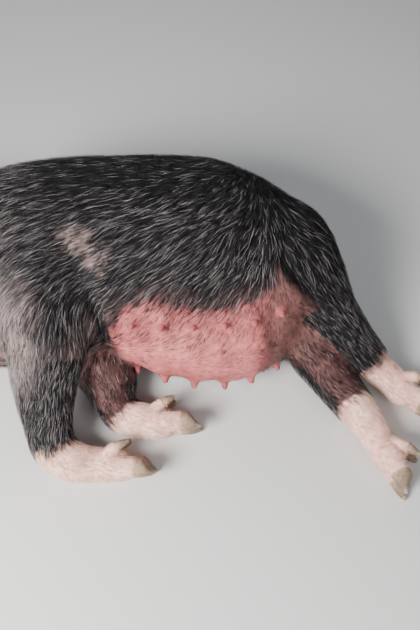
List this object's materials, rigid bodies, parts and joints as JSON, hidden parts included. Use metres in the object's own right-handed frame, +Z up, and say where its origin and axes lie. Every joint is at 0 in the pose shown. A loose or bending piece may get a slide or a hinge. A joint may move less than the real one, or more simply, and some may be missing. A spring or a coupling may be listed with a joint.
{
  "type": "miniature pig model",
  "caption": "Life-size miniature pig sow lying on her right side, legs and head stretched out, with a short black coat, pink belly and pale feet; a still museum-type model.",
  "frame": {"origin": "on the floor, under the middle of the barrel, on the flat the trunk rests on", "axes": "+Z up, towards the left side of the sow, who lies on her right; -X towards her head, +Y towards her back, -Y towards her belly and legs"},
  "size_m": [1.1806, 0.6746, 0.2888],
  "materials": {
    "coat": "matte",
    "sock": "matte",
    "snout": "satin",
    "horn": "satin",
    "eye": "gloss"
  },
  "bodies": {
    "root": {"head": "coat", "snout": "snout", "ear_left": "coat", "ear_right": "coat", "eye_left": "eye", "eye_right": "eye", "neck": "coat", "torso": "coat", "tail": "coat", "foreleg_left": "coat", "forefoot_left": "sock", "foreleg_right": "coat", "forefoot_right": "sock", "hindleg_left": "coat", "hindfoot_left": "sock", "hindleg_right": "coat", "hindfoot_right": "sock", "hoof_fore_left_upper": "horn", "hoof_fore_left_lower": "horn", "dewclaw_fore_left_upper": "horn", "dewclaw_fore_left_lower": "horn", "hoof_fore_right_upper": "horn", "hoof_fore_right_lower": "horn", "dewclaw_fore_right_upper": "horn", "dewclaw_fore_right_lower": "horn", "hoof_hind_left_upper": "horn", "hoof_hind_left_lower": "horn", "dewclaw_hind_left_upper": "horn", "dewclaw_hind_left_lower": "horn", "hoof_hind_right_upper": "horn", "hoof_hind_right_lower": "horn", "dewclaw_hind_right_upper": "horn", "dewclaw_hind_right_lower": "horn"}
  },
  "joints": []
}
